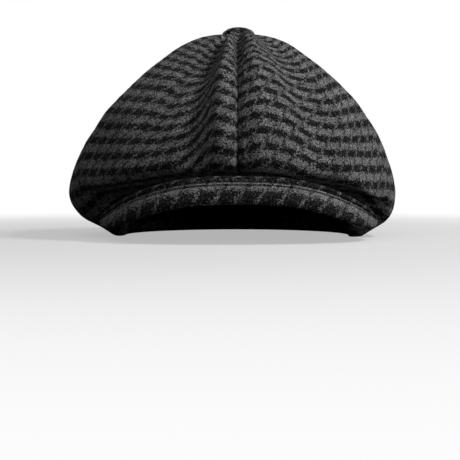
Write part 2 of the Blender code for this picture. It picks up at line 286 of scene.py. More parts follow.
# Length of cloth from the button over which a panel's rows take on their hang at the top, and
# where they leave it again
TOP_HANG_FULL = 0.05
TOP_HANG_LEFT = 0.07
TOP_HANG_END = 0.17

# Where a fold pulls the rows of a front panel down, or up where the pull is negative, high on the
# crown and low on it. Angles are in degrees from the front, and the pulls in metres. The last two
# are the lengths of cloth between which a pull turns from high to low.
RowPull = namedtuple("RowPull", "name degrees half_width high low")
ROW_PULLS = (
    RowPull("left_ridge", -12.0, 9.0, -0.008, -0.006),
    RowPull("left_valley", -26.0, 12.0, 0.010, 0.000),
    RowPull("right_ridge", 18.0, 11.0, -0.004, -0.002),
    RowPull("right_hollow", 41.0, 13.0, 0.006, 0.000),
)
PULL_TURNS = 0.10
PULL_TURNED = 0.17

# Soft lights round the cap. Angles are in degrees from the camera's side and from the floor,
# distance and size in metres, and "share" is a share of the lights' power at one metre.
Lamp = namedtuple("Lamp", "name azimuth elevation distance size share")
LAMPS = (
    Lamp("right_light", 72.0, 46.0, 1.5, 0.45, 0.95),
    Lamp("left_light", -80.0, 60.0, 1.5, 0.60, 0.10),
    Lamp("low_right_light", 56.0, 2.0, 1.5, 0.40, 0.15),
    Lamp("front_light", 5.0, 62.0, 1.6, 0.70, 0.08),
)
LIGHT_AIM_HEIGHT = 0.08

# Floor, from its front edge to the bend where it curves up into the backdrop, the distances
# from the cap between which it turns from a lit floor to a pale glow, and the light it reflects
FLOOR_WIDTH = 8.0
FLOOR_RUN = 6.0
FLOOR_FRONT = -2.0
FLOOR_BEND = 1.6
FLOOR_CURVE = 0.8
FLOOR_STEPS = 40
GLOW_START = 0.18
GLOW_FULL = 0.80
GLOW_LEAST = 0.45
FLOOR_BOUNCE = 0.10

# The picture's width in pixels, the point beside the crown's axis that the camera looks at, and
# how near it sees
FRAME_PIXELS = 460
AIM_SIDEWAYS = -0.0069
AIM_HEIGHT = 0.004
NEAREST_SEEN = 0.01

# Corners round the peak's board, from its upper face over the bead and down the stitched face to
# its underside. "out" is a place out from the bend in walls, "lean" a share of the face's lean,
# "bead" of the bead's height, and "drop", "inner" and "wall" are shares of the face's drop, of
# the drop on its inner side and of the wall, all downwards. Two more corners stand at its root.
ROOT_CORNERS = 2
PeakCorner = namedtuple("PeakCorner", "name out lean bead drop inner wall", defaults=(0.0,) * 5)
PEAK_CORNERS = (
    PeakCorner("level", -1.60),
    PeakCorner("behind_bead", -0.90),
    PeakCorner("first_stitching", -0.62, bead=-0.7),
    PeakCorner("bead_back", -0.42, bead=0.8),
    PeakCorner("bead_crest", -0.16, bead=1.2),
    PeakCorner("bead_front", 0.10, lean=0.02, bead=0.7),
    PeakCorner("bead_low", 0.20, lean=0.06, drop=0.07),
    PeakCorner("second_stitching", 0.00, lean=0.10, drop=0.15),
    PeakCorner("second_rib", 0.20, lean=0.15, drop=0.22),
    PeakCorner("under_rib", 0.04, lean=0.20, drop=0.29),
    PeakCorner("face_upper", 0.20, lean=0.32, drop=0.38),
    PeakCorner("face_middle", 0.16, lean=0.56, drop=0.56),
    PeakCorner("face_low", 0.05, lean=0.90, drop=0.82),
    PeakCorner("rim_front", -0.12, lean=1.00, drop=0.97),
    PeakCorner("rim_under", -0.42, lean=1.02, drop=1.02),
    PeakCorner("rim_back", -0.78, lean=1.00, drop=0.97),
    PeakCorner("inner_low", -1.00, lean=0.92, inner=0.88),
    PeakCorner("inner_middle", -0.90, lean=0.50, inner=0.50, wall=0.5),
    PeakCorner("inner_top", -0.90, wall=1.0),
    PeakCorner("under_board", -1.60, wall=1.0),
)

# Where the first light row of the peak's check lies below the bead, how much lower it lies at the
# sides, how far from the middle it is that low, and how much the cloth below it is stretched
PEAK_FIRST_ROW = 0.0070
PEAK_ROW_DRIFT = 0.0024
PEAK_DRIFT_END = 0.095
PEAK_RIM_STRETCH = 1.90

# The button's outline from its top to its underside, as shares of its radius and height
BUTTON_PROFILE = (
    (0.00, 1.00),
    (0.22, 0.985),
    (0.42, 0.945),
    (0.60, 0.86),
    (0.76, 0.73),
    (0.89, 0.56),
    (0.97, 0.40),
    (1.00, 0.27),
    (0.96, 0.14),
    (0.86, 0.05),
    (0.70, 0.00),
    (0.00, 0.00),
)


class CapClothSettings(bpy.types.PropertyGroup):
    """The check's size on the crown and the peak, and the cloths' colours."""

    row_height: FloatProperty(
        name="Row height", description="Height of one repeat of the check on the crown",
        default=0.012, min=0.002, unit="LENGTH", subtype="DISTANCE")
    column_width: FloatProperty(
        name="Column width", description="Width of one repeat of the check on the crown",
        default=0.0118, min=0.002, unit="LENGTH", subtype="DISTANCE")
    peak_row_height: FloatProperty(
        name="Peak row height", description="Height of one repeat of the check on the peak",
        default=0.0120, min=0.002, unit="LENGTH", subtype="DISTANCE")
    peak_column_width: FloatProperty(
        name="Peak column width", description="Width of one repeat of the check on the peak",
        default=0.0145, min=0.002, unit="LENGTH", subtype="DISTANCE")
    light_wool: FloatVectorProperty(
        name="Light wool", description="Colour of the grey yarn",
        default=(0.225, 0.225, 0.230), size=3, min=0.0, max=1.0, subtype="COLOR")
    dark_wool: FloatVectorProperty(
        name="Dark wool", description="Colour of the black yarn",
        default=(0.007, 0.007, 0.0075), size=3, min=0.0, max=1.0, subtype="COLOR")
    band_colour: FloatVectorProperty(
        name="Band cloth", description="Colour of the plain cloth of the headband",
        default=(0.014, 0.014, 0.015), size=3, min=0.0, max=1.0, subtype="COLOR")


class CapCrownSettings(bpy.types.PropertyGroup):
    """The crown's grids, and the relief of its cloth."""

    front_columns: IntProperty(
        name="Front columns", description="Grid columns across each front panel",
        default=170, min=12)
    back_columns: IntProperty(
        name="Back columns", description="Grid columns across each back panel",
        default=130, min=12)
    rows: IntProperty(
        name="Rows", description="Grid rows from the button to the band",
        default=170, min=24)
    seam_roll: FloatProperty(
        name="Seam roll", description="How deep the cloth rolls in along a seam",
        default=0.0044, min=0.0, unit="LENGTH", subtype="DISTANCE")
    seam_roll_width: FloatProperty(
        name="Seam roll width", description="How far from a seam the roll starts",
        default=0.0036, min=0.0005, unit="LENGTH", subtype="DISTANCE")
    slackness: FloatProperty(
        name="Slackness", description="Height of the soft waves over the crown",
        default=0.0006, min=0.0, unit="LENGTH", subtype="DISTANCE")
    nap: FloatProperty(
        name="Nap", description="Height of the lumps in the brushed wool",
        default=0.00022, min=0.0, unit="LENGTH", subtype="DISTANCE")


class CapPeakSettings(bpy.types.PropertyGroup):
    """The peak's grid and its stitches."""

    steps: IntProperty(
        name="Steps", description="Steps along the peak from tip to tip",
        default=260, min=24)
    section_points: IntProperty(
        name="Section points", description="Points round the peak's board",
        default=96, min=24)
    stitch_length: FloatProperty(
        name="Stitch length", description="Length of one stitch on the bead",
        default=0.0030, min=0.001, unit="LENGTH", subtype="DISTANCE")
    stitch_gap: FloatProperty(
        name="Stitch gap", description="Gap between two stitches",
        default=0.0012, min=0.0003, unit="LENGTH", subtype="DISTANCE")
    thread_radius: FloatProperty(
        name="Thread radius", description="Radius of the sewing thread",
        default=0.00022, min=0.0001, unit="LENGTH", subtype="DISTANCE")


class CapStageSettings(bpy.types.PropertyGroup):
    """The camera, the floor's colour and the lights."""

    camera_distance: FloatProperty(
        name="Camera distance", description="Distance from the camera to the crown's axis",
        default=0.85, min=0.2, unit="LENGTH", subtype="DISTANCE")
    camera_height: FloatProperty(
        name="Camera height", description="Height of the camera over the floor",
        default=0.040, min=0.005, unit="LENGTH", subtype="DISTANCE")
    pixel: FloatProperty(
        name="Pixel", description="Width that one pixel shows at the crown's axis",
        default=0.00081, min=0.0001, unit="LENGTH", subtype="DISTANCE")
    floor_colour: FloatVectorProperty(
        name="Floor", description="Colour of the floor and the backdrop",
        default=(0.90, 0.90, 0.90), size=3, min=0.0, max=1.0, subtype="COLOR")
    light_power: FloatProperty(
        name="Light power", description="Power of all the soft lights, in watts at one metre",
        default=5.5, min=0.0)
    ambient: FloatProperty(
        name="Ambient light", description="Strength of the light from all round",
        default=0.10, min=0.0)


def smoothstep(low, high, value):
    """0 below low, 1 above high, and a soft step between them."""
    share = min(max((value - low) / (high - low), 0.0), 1.0)
    return share * share * (3.0 - 2.0 * share)


def come_and_go(start, full, left, end, value):
    """0 before start and past end, 1 from full to left, and soft steps between them."""
    return smoothstep(start, full, value) * (1.0 - smoothstep(left, end, value))


def swell(away):
    """1 in the middle, falling softly to 0 at a distance of 1."""
    return 0.5 + 0.5 * math.cos(math.pi * away)


def running_length(points):
    """Length of a line of points from its start to each of them."""
    run = [0.0]
    for before, after in zip(points, points[1:]):
        run.append(run[-1] + (after - before).length)
    return run


def through(values, place):
    """Smooth curve through a list of values, at a place from 0 to the last index."""
    last = len(values) - 1
    index = min(int(place), last - 1)
    t = place - index
    before = values[max(index - 1, 0)]
    start = values[index]
    end = values[index + 1]
    after = values[min(index + 2, last)]
    return 0.5 * (
        2.0 * start
        + (end - before) * t
        + (2.0 * before - 5.0 * start + 4.0 * end - after) * t * t
        + (3.0 * start - before - 3.0 * end + after) * t * t * t
    )


def band_edge(y):
    """Height of the band's lower edge, which lies in a plane that rises to the front."""
    share = (BAND_OUT_Y - y) / (2.0 * BAND_OUT_Y)
    return BAND_BACK_RISE + (BAND_FRONT_RISE - BAND_BACK_RISE) * share


def peak_top(x):
    """Height of the peak's upper face, an arch that falls off to both sides."""
    fall = PEAK_ARCH * (abs(x) / PEAK_HALF_WIDTH) ** PEAK_ARCH_POWER
    return BAND_FRONT_RISE + PEAK_WALL - fall


def lift_share(degrees, end):
    """Share of the peak's height that lifts the crown: all over the peak, none past its end."""
    left = max(min((end - degrees) / (end - LIFT_FULL_ANGLE), 1.0), 0.0)
    turned = smoothstep(LIFT_FULL_ANGLE, LIFT_FULL_ANGLE + LIFT_TURN, degrees)
    return 1.0 - turned * (1.0 - left ** LIFT_POWER)


def station_point(station, angle):
    """One station of the crown's outer face at one angle, before its folds."""
    sine = math.sin(angle)
    cosine = math.cos(angle)
    ahead = cosine > 0.0
    side_share = sine * sine
    end_share = cosine * cosine
    end_out = station.front_out if ahead else station.back_out
    end_up = station.front_up if ahead else station.back_up
    overhang = FRONT_OVERHANG if ahead else BACK_OVERHANG
    side_overhang = RIGHT_OVERHANG if sine > 0.0 else LEFT_OVERHANG
    if station.from_band:
        half_x = BAND_OUT_X + SEAM_GAP + station.side_out * side_overhang
        half_y = BAND_OUT_Y + SEAM_GAP + end_out * overhang
    else:
        half_x = station.side_out * (BAND_OUT_X + side_overhang)
        half_y = end_out * (BAND_OUT_Y + overhang)
    x = half_x * sine
    y = -half_y * cosine
    up = station.side_up * side_share + end_up * end_share
    degrees = abs(math.degrees(math.atan2(sine, cosine)))
    on_peak = lift_share(degrees, RIGHT_LIFT_END if sine > 0.0 else LEFT_LIFT_END)
    if station.on_seam:
        free = up * (band_edge(y) + SEAM_RISE)
        return Vector((x, y, free + on_peak * (peak_top(x) + REST_GAP - free)))
    sole_x = (BAND_OUT_X + SOLE.side_out * side_overhang) * sine
    lift = on_peak * (peak_top(sole_x) + REST_GAP)
    return Vector((x, y, lift + up * (CROWN_HEIGHT - lift)))


@lru_cache(maxsize=None)
def stations_at(angle):
    """All the crown's stations at one angle, worked out once."""
    return tuple(station_point(station, angle) for station in STATIONS)


def smooth_point(angle, along):
    """Point of the crown without folds: along is 0 at the button and 1 at the band."""
    points = stations_at(angle)
    return through(points, along * (len(points) - 1))


def fold_height(angle, along):
    """How far the folds push the cloth out at one point."""
    degrees = math.degrees(angle)
    down = min(along / BULGE_SHARE, 1.0)
    total = 0.0
    for fold in FOLDS:
        line = fold.angle_top + (fold.angle_low - fold.angle_top) * down
        reach = fold.half_width * (1.0 + FOLD_SPREAD * (1.0 - down))
        away = abs((degrees - line + 180.0) % 360.0 - 180.0) / reach
        if away < 1.0:
            fade = come_and_go(
                fold.top, fold.top + FOLD_FADE, fold.bottom - FOLD_FADE, fold.bottom, along)
            total += fold.height * swell(away) * fade
    return total * FOLD_HEIGHT


def slump(angle, along):
    """How far the soft bulge sinks at one point of the crown."""
    amount = FRONT_SLUMP * smoothstep(SLUMP_COSINE_LOW, SLUMP_COSINE_FULL, math.cos(angle))
    beside_tip = abs(abs(math.degrees(angle)) - TIP_SLUMP_ANGLE) / TIP_SLUMP_REACH
    tip_slump = RIGHT_TIP_SLUMP if angle > 0.0 else LEFT_TIP_SLUMP
    amount += tip_slump * (1.0 - min(beside_tip, 1.0) ** 2) ** 2
    return amount * come_and_go(SLUMP_START, SLUMP_FULL, SLUMP_FULL, SLUMP_END, along)


def crown_point(angle, along):
    """Point of the crown's outer face with its folds, flattened where it rests."""
    here = smooth_point(angle, along)
    across = smooth_point(angle + SLOPE_STEP, along) - smooth_point(angle - SLOPE_STEP, along)
    higher = smooth_point(angle, max(along - SLOPE_STEP, 0.0))
    down = smooth_point(angle, min(along + SLOPE_STEP, 1.0)) - higher
    outward = down.cross(across).normalized()
    point = here + outward * fold_height(angle, along)
    point.z = max(point.z - slump(angle, along), 0.0)
    return point


def even_shares(angle, count):
    """Shares of the way from button to band that cut the crown's line into even steps."""
    lengths = running_length([
        smooth_point(angle, step / LENGTH_STEPS) for step in range(LENGTH_STEPS + 1)])
    shares = []
    step = 0
    for row in range(count + 1):
        goal = lengths[-1] * row / count
        while step < LENGTH_STEPS - 1 and lengths[step + 1] < goal:
            step += 1
        part = (goal - lengths[step]) / (lengths[step + 1] - lengths[step])
        shares.append(min((step + part) / LENGTH_STEPS, 1.0))
    return shares


def row_sag(panel, degrees, length):
    """How far a row of the check hangs below the button at one place of a panel, in cloth."""
    share = (abs(degrees) if panel.front else 180.0 - abs(degrees)) / 90.0
    hang = panel.row_hang * (1.0 - ROW_HANG_LOST * smoothstep(ROW_HANG_FULL, ROW_HANG_END, length))
    hang += panel.top_hang * come_and_go(0.0, TOP_HANG_FULL, TOP_HANG_LEFT, TOP_HANG_END, length)
    sag = panel.first_row + hang * math.sin(math.pi * share)
    sag += (panel.row_tilt + panel.row_lean * length) * share
    sag += GATHER_ROWS * (1.0 - smoothstep(0.0, GATHER_END, length))
    for pull in ROW_PULLS:
        away = abs(degrees - pull.degrees) / pull.half_width
        if away < 1.0:
            turned = smoothstep(PULL_TURNS, PULL_TURNED, length)
            sag += (pull.high + (pull.low - pull.high) * turned) * swell(away)
    return sag


def place_on_cloth(panel, degrees, length, breadth, cloth):
    """Place of one point of a panel on its cloth, across and down, in repeats of the check."""
    gathered = 1.0 + GATHER_SHARE * (1.0 - smoothstep(0.0, GATHER_END, length))
    return (
        breadth * gathered / cloth.column_width,
        (length - row_sag(panel, degrees, length)) / cloth.row_height,
    )


def new_grid(columns, rows):
    """A bmesh that holds a grid of faces, and its vertices as a list of rows."""
    bm = bmesh.new()
    bmesh.ops.create_grid(bm, x_segments=columns, y_segments=rows, size=0.5)
    net = [[None] * (columns + 1) for _ in range(rows + 1)]
    for vert in bm.verts:
        column = round((vert.co.x + 0.5) * columns)
        row = round((vert.co.y + 0.5) * rows)
        net[row][column] = vert
    return bm, net


def nap_at(place):
    """Height of the lumps of brushed wool at one place, from about -1 to 1."""
    return noise.noise(place * NAP_SCALE)


def lay_cloth(bm, places):
    """Give a mesh a UV map from each vertex's place on the cloth, counted in check repeats."""
    layer = bm.loops.layers.uv.new("cloth")
    for face in bm.faces:
        for loop in face.loops:
            loop[layer].uv = places[loop.vert.index]


def new_piece(name, bm, finish, *nodes):
    """Turn a mesh into a piece of the cap with one of its finishes, for the given solids."""
    mesh = bpy.data.meshes.new(name)
    bmesh.ops.translate(bm, verts=bm.verts, vec=AXIS)
    bm.to_mesh(mesh)
    bm.free()
    mesh.materials.append(finish_named(finish))
    mesh.shade_smooth()
    piece = bpy.data.objects.new(name, mesh)
    bpy.context.scene.collection.objects.link(piece)
    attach(piece, "root")
    if nodes:
        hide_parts(*nodes)
    return piece


def add_wall(piece, thickness):
    """Give a piece of cloth its thickness, inwards from its outer face."""
    wall = piece.modifiers.new("wall", "SOLIDIFY")
    wall.thickness = thickness
    wall.offset = -1.0


class NodeBench:
    """Adds nodes to a tree and joins them, one call for each node."""

    # How the nodes stand in the tree
    NODES_IN_LINE = 12
    STEP_ACROSS = 180
    STEP_DOWN = -220

    # Where a Mix node of each kind has its first value, and its result
    MIX_SOCKETS = {"FLOAT": (2, 0), "RGBA": (6, 2)}

    def __init__(self, tree):
        self.tree = tree
        self.count = 0

    def add(self, kind, **settings):
        """A new node, set in the next free place of the tree."""
        node = self.tree.nodes.new(kind)
        line, place = divmod(self.count, self.NODES_IN_LINE)
        node.location = (self.STEP_ACROSS * place, self.STEP_DOWN * line)
        self.count += 1
        for name, value in settings.items():
            setattr(node, name, value)
        return node

    def feed(self, socket, value):
        """Link a socket to another one, or put a constant on it."""
        if isinstance(value, bpy.types.NodeSocket):
            self.tree.links.new(value, socket)
        else:
            socket.default_value = value

    def fill(self, node, values):
        """Feed a node's inputs, each by its name."""
        for name, value in values.items():
            self.feed(node.inputs[name], value)
        return node

    def join(self, kind, *values, **settings):
        """The first output of a new node whose inputs are fed in their order."""
        node = self.add(kind, **settings)
        for socket, value in zip(node.inputs, values):
            self.feed(socket, value)
        return node.outputs[0]

    def math(self, operation, *values):
        """What an operation makes of numbers."""
        return self.join("ShaderNodeMath", *values, operation=operation)

    def vector(self, operation, *values):
        """What an operation makes of vectors."""
        return self.join("ShaderNodeVectorMath", *values, operation=operation)

    def shade(self, colour, factor):
        """A colour made lighter or darker by a factor."""
        node = self.add("ShaderNodeVectorMath", operation="SCALE")
        self.feed(node.inputs[0], colour)
        self.feed(node.inputs["Scale"], factor)
        return node.outputs[0]

    def noise(self, coordinates, scale, detail, roughness):
        """A noise texture."""
        return self.fill(self.add("ShaderNodeTexNoise"), {
            "Vector": coordinates, "Scale": scale, "Detail": detail, "Roughness": roughness})

    def ramp(self, value, low, high, to_low=0.0, to_high=1.0, kind="LINEAR"):
        """A value carried evenly from one range to another, and held at the ends."""
        node = self.add("ShaderNodeMapRange", interpolation_type=kind)
        limits = {"From Min": low, "From Max": high, "To Min": to_low, "To Max": to_high}
        return self.fill(node, {"Value": value, **limits}).outputs["Result"]

    def step(self, value, low, high, to_low=0.0, to_high=1.0):
        """A value carried from one range to another with a soft start and end."""
        return self.ramp(value, low, high, to_low, to_high, kind="SMOOTHSTEP")

    def mix(self, factor, first, second, kind="FLOAT"):
        """A number or a colour between two others."""
        node = self.add("ShaderNodeMix", data_type=kind)
        start, result = self.MIX_SOCKETS[kind]
        self.feed(node.inputs[0], factor)
        self.feed(node.inputs[start], first)
        self.feed(node.inputs[start + 1], second)
        return node.outputs[result]

    def emboss(self, shader, height, strength, distance):
        """Give a shader the relief of a height."""
        relief = self.fill(self.add("ShaderNodeBump"), {
            "Strength": strength, "Distance": distance, "Height": height})
        self.feed(shader.inputs["Normal"], relief.outputs["Normal"])


def new_group(name, numbers, outputs):
    """A node group that takes a vector and some numbers, with a bench to fill it on."""
    group = bpy.data.node_groups.new(name, "ShaderNodeTree")
    group.interface.new_socket("Vector", in_out="INPUT", socket_type="NodeSocketVector")
    for label, default in numbers.items():
        socket = group.interface.new_socket(label, in_out="INPUT", socket_type="NodeSocketFloat")
        socket.default_value = default
    for label, kind in outputs.items():
        group.interface.new_socket(label, in_out="OUTPUT", socket_type=kind)
    bench = NodeBench(group)
    return group, bench, bench.add("NodeGroupInput").outputs, bench.add("NodeGroupOutput")


def new_material(name):
    """A material with a bench to fill it on, its shader, and its Object coordinates."""
    material = bpy.data.materials.new(name)
    material.use_nodes = True
    bench = NodeBench(material.node_tree)
    place = bench.add("ShaderNodeTexCoord").outputs["Object"]
    return material, bench, material.node_tree.nodes["Principled BSDF"], place


def houndstooth_group():
    """Node group: the mask of a houndstooth check, laid on a UV map counted in repeats."""
    group, bench, given, leave = new_group(
        "houndstooth_check",
        {"Edge": 0.10, "Warp Share": 0.40, "Gap": 0.74, "Link": 0.6},
        {"Light": "NodeSocketFloat", "Twill": "NodeSocketFloat"})
    split = bench.fill(bench.add("ShaderNodeSeparateXYZ"), {"Vector": given["Vector"]})
    across = split.outputs["X"]
    down = split.outputs["Y"]
    edge = given["Edge"]
    low_edge = bench.math("MULTIPLY", edge, -1.0)

    def yarns(value):
        """Mask of yarns that are light over one half of each repeat and dark over the other."""
        wave = bench.math("PINGPONG", bench.math("ADD", value, HALF_REPEAT), HALF_REPEAT)
        return bench.step(bench.math("SUBTRACT", wave, HALF_REPEAT / 2.0), low_edge, edge)

    warp = yarns(across)
    weft = yarns(down)
    slant = bench.math("MULTIPLY", bench.math("ADD", across, down), 2.0)
    warp_half = bench.math("MULTIPLY", given["Warp Share"], HALF_REPEAT)
    half = bench.math("SUBTRACT", HALF_REPEAT, warp_half)
    slant_wave = bench.math("PINGPONG", bench.math("ADD", slant, HALF_REPEAT), HALF_REPEAT)
    soft_edge = bench.math("MULTIPLY", edge, TWILL_EDGE)
    low_soft_edge = bench.math("MULTIPLY", soft_edge, -1.0)
    over = bench.step(bench.math("SUBTRACT", slant_wave, half), low_soft_edge, soft_edge)
    shown = bench.mix(weft, given["Link"], given["Gap"])
    light = bench.mix(bench.math("MULTIPLY", over, shown), weft, warp)
    bench.fill(leave, {"Light": light, "Twill": over})
    return group


def brushed_wool_group():
    """Node group: the drift, fibres, shade and relief of brushed wool, from Object coordinates."""
    group, bench, given, leave = new_group(
        "brushed_wool",
        {"Fibre Scale": 950.0, "Fleck": 1.0},
        {"Drift": "NodeSocketVector", "Fibre": "NodeSocketFloat",
         "Shade": "NodeSocketFloat", "Height": "NodeSocketFloat"})
    scale = given["Fibre Scale"]
    tuft_scale = bench.math("MULTIPLY", scale, TUFT_SCALE)
    fibres = bench.noise(given["Vector"], scale, detail=2.0, roughness=0.7).outputs["Fac"]
    tufts = bench.noise(given["Vector"], tuft_scale, detail=2.0, roughness=0.6).outputs
    haze = bench.noise(given["Vector"], HAZE_SCALE, detail=3.0, roughness=0.55).outputs["Fac"]
    least = bench.math("SUBTRACT", 1.0, given["Fleck"])
    most = bench.math("ADD", 1.0, given["Fleck"])
    fleck = bench.ramp(fibres, low=0.35, high=0.65, to_low=least, to_high=most)
    clump = bench.ramp(tufts["Fac"], low=0.3, high=0.7, to_low=0.72, to_high=1.28)
    cloud = bench.ramp(haze, low=0.3, high=0.7, to_low=0.88, to_high=1.12)
    bench.fill(leave, {
        "Drift": bench.vector("SUBTRACT", tufts["Color"], (0.5, 0.5, 0.5)),
        "Fibre": bench.ramp(fibres, low=0.3, high=0.7, to_low=-1.0, to_high=1.0),
        "Shade": bench.math("MULTIPLY", bench.math("MULTIPLY", fleck, clump), cloud),
        "Height": bench.math("ADD", tufts["Fac"], fibres),
    })
    return group


def tweed_material(name, cloth):
    """Thick brushed tweed in a houndstooth check."""
    material, bench, shader, place = new_material(name)
    chart = bench.add("ShaderNodeUVMap", uv_map="cloth").outputs["UV"]
    wool = bench.add("ShaderNodeGroup", node_tree=brushed_wool_group())
    bench.feed(wool.inputs["Vector"], place)
    drifted = bench.vector("MULTIPLY_ADD", wool.outputs["Drift"], CHECK_DRIFT, chart)
    check = bench.add("ShaderNodeGroup", node_tree=houndstooth_group())
    bench.feed(check.inputs["Vector"], drifted)
    ruffled = bench.math("MULTIPLY_ADD", wool.outputs["Fibre"], FIBRE_RUFFLE, check.outputs["Light"])
    light_share = bench.ramp(ruffled, low=0.1, high=1.0)
    dark = (*cloth.dark_wool, 1.0)
    light = (*cloth.light_wool, 1.0)
    yarn = bench.mix(light_share, dark, light, "RGBA")
    bench.fill(shader, {
        "Base Color": bench.shade(yarn, wool.outputs["Shade"]),
        "Roughness": 0.93,
        "Specular IOR Level": 0.14,
        "Sheen Weight": 0.04,
        "Sheen Roughness": 0.5,
    })
    height = bench.math("MULTIPLY_ADD", check.outputs["Twill"], TWILL_RELIEF, wool.outputs["Height"])
    bench.emboss(shader, height, strength=0.8, distance=0.0010)
    return material


def band_material(name, cloth):
    """Plain black cloth with a fine weave."""
    material, bench, shader, place = new_material(name)
    chart = bench.add("ShaderNodeUVMap", uv_map="cloth").outputs["UV"]
    split = bench.fill(bench.add("ShaderNodeSeparateXYZ"), {"Vector": chart})
    twill = bench.math("PINGPONG", bench.math("ADD", split.outputs["X"], split.outputs["Y"]), 0.5)
    fluff = bench.noise(place, FLUFF_SCALE, detail=2.0, roughness=0.6).outputs["Fac"]
    height = bench.math("ADD", twill, fluff)
    tone = bench.ramp(height, low=0.2, high=1.2, to_low=0.6, to_high=1.5)
    bench.fill(shader, {
        "Base Color": bench.shade(tuple(cloth.band_colour), tone),
        "Roughness": 0.85,
    })
    bench.emboss(shader, height, strength=0.5, distance=0.0003)
    return material


def thread_material(name, cloth):
    """Black sewing thread with its fuzz."""
    material, bench, shader, place = new_material(name)
    fuzz = bench.noise(place, FUZZ_SCALE, detail=2.0, roughness=0.5).outputs["Fac"]
    tone = bench.ramp(fuzz, low=0.3, high=0.7, to_low=0.7, to_high=1.6)
    bench.fill(shader, {
        "Base Color": bench.shade(tuple(cloth.dark_wool), tone),
        "Roughness": 0.6,
    })
    return material


FINISHES = {
    "houndstooth_tweed": tweed_material,
    "black_band_cloth": band_material,
    "sewing_thread": thread_material,
}


def finish_named(name):
    """The material of that name, made when it is first asked for."""
    return bpy.data.materials.get(name) or FINISHES[name](name, bpy.context.scene.cap_cloth)


class FLATCAP_OT_crown(bpy.types.Operator):
    """Sew the four panels of the crown"""

    bl_idname = "flatcap.crown"
    bl_label = "Crown"

    def execute(self, context):
        for panel in PANELS:
            self.sew_panel(panel, context.scene.cap_crown, context.scene.cap_cloth)
        return {"FINISHED"}

    def sew_panel(self, panel, crown, cloth):
        """One panel: a grid laid over the crown, charted on the cloth and then softened."""
        columns = crown.front_columns if panel.front else crown.back_columns
        middle = (panel.start + panel.end) / 2.0
        shares = even_shares(math.radians(middle), crown.rows)
        angles = self.column_angles(panel, columns)
        bm, net = new_grid(columns, crown.rows)
        for verts, share in zip(net, shares):
            for vert, degrees in zip(verts, angles):
                vert.co = crown_point(math.radians(degrees), share)
        bmesh.ops.reverse_faces(bm, faces=bm.faces)
        bm.normal_update()
        lengths = [running_length([vert.co for vert in column]) for column in zip(*net)]
        breadths = [self.breadths_of(verts, angles, middle) for verts in net]
        self.soften(net, breadths, shares, angles, crown)
        self.close_seams(net, panel)
        bm.verts.index_update()
        places = {}
        for row, verts in enumerate(net):
            for column, vert in enumerate(verts):
                places[vert.index] = place_on_cloth(
                    panel, angles[column], lengths[column][row], breadths[row][column], cloth)
        lay_cloth(bm, places)
        area = sum(face.calc_area() for face in bm.faces)
        piece = new_piece(panel.node + "_cloth", bm, "houndstooth_tweed", panel.node)
        add_wall(piece, CROWN_WALL)

    def column_angles(self, panel, columns):
        """Angles of the grid's columns, closer together near the seams."""
        angles = []
        for column in range(columns + 1):
            share = column / columns
            share -= COLUMN_CROWDING * math.sin(2.0 * math.pi * share) / (2.0 * math.pi)
            angles.append(panel.start + (panel.end - panel.start) * share)
        return angles

    def breadths_of(self, verts, angles, middle):
        """Lengths of cloth across one row, from the panel's middle."""
        centre = min(range(len(angles)), key=lambda column: abs(angles[column] - middle))
        run = running_length([vert.co for vert in verts])
        return [value - run[centre] for value in run]

    def soften(self, net, breadths, shares, angles, crown):
        """Roll the cloth into its seams and give it slack waves and a lumpy nap."""
        for verts, ends, share in zip(net, breadths, shares):
            widened = 1.0 + SEAM_TOP_WIDTH * (1.0 - smoothstep(SEAM_TOP_LEFT, SEAM_TOP_END, share))
            width = min(crown.seam_roll_width * widened, SEAM_ROLL_LIMIT * (ends[-1] - ends[0]))
            fade = come_and_go(RELIEF_START, RELIEF_FULL, RELIEF_LEFT, RELIEF_END, share)
            for vert, breadth, degrees in zip(verts, ends, angles):
                from_seam = min(breadth - ends[0], ends[-1] - breadth)
                roll = (1.0 - min(from_seam / width, 1.0)) ** SEAM_ROLL_POWER
                facing = max(math.cos(math.radians(degrees)), 0.0)
                depth = crown.seam_roll * (SIDE_SEAM_ROLL + (1.0 - SIDE_SEAM_ROLL) * facing)
                wave = noise.noise(vert.co * WAVE_SCALE)
                wave += SMALL_WAVE_SHARE * noise.noise(vert.co * SMALL_WAVE_SCALE)
                slack = wave * crown.slackness * smoothstep(0.0, WAVE_CALM, from_seam)
                height = slack + nap_at(vert.co) * crown.nap - roll * depth
                vert.co += vert.normal * height * fade
                vert.co.z = max(vert.co.z, 0.0)

    def close_seams(self, net, panel):
        """Put the panel's first and last columns in their seams' planes, where panels meet."""
        for verts in net:
            for vert, degrees in ((verts[0], panel.start), (verts[-1], panel.end)):
                if degrees % 180.0:
                    vert.co.y = 0.0
                else:
                    vert.co.x = 0.0


